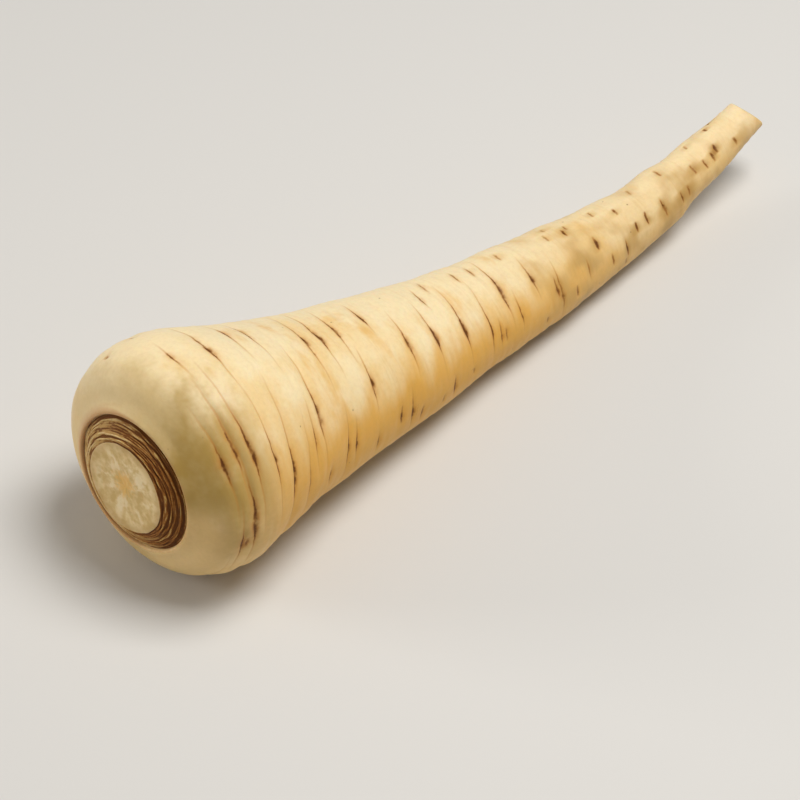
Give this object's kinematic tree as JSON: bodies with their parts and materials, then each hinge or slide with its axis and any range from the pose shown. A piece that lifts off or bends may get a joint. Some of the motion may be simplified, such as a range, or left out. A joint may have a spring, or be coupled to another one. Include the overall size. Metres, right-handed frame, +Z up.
{
  "type": "parsnip",
  "caption": "Whole parsnip root lying on its side: broad rounded shoulder, trimmed crown with leaf-base rings, long taper to a slightly upturned cut tip.",
  "frame": {"origin": "on the surface the root lies on, under the middle of its bounding box", "axes": "+Y along the root from the crown to the tip, +Z up, +X to the right as seen when looking from the crown towards the tip"},
  "size_m": [0.0656, 0.2432, 0.0632],
  "materials": {
    "parsnip_skin": "cream root skin with a soft waxy gloss, thin brown transverse scars, and a dark-ringed pale crown"
  },
  "bodies": {
    "root": {"parsnip_root": "parsnip_skin"}
  },
  "joints": []
}
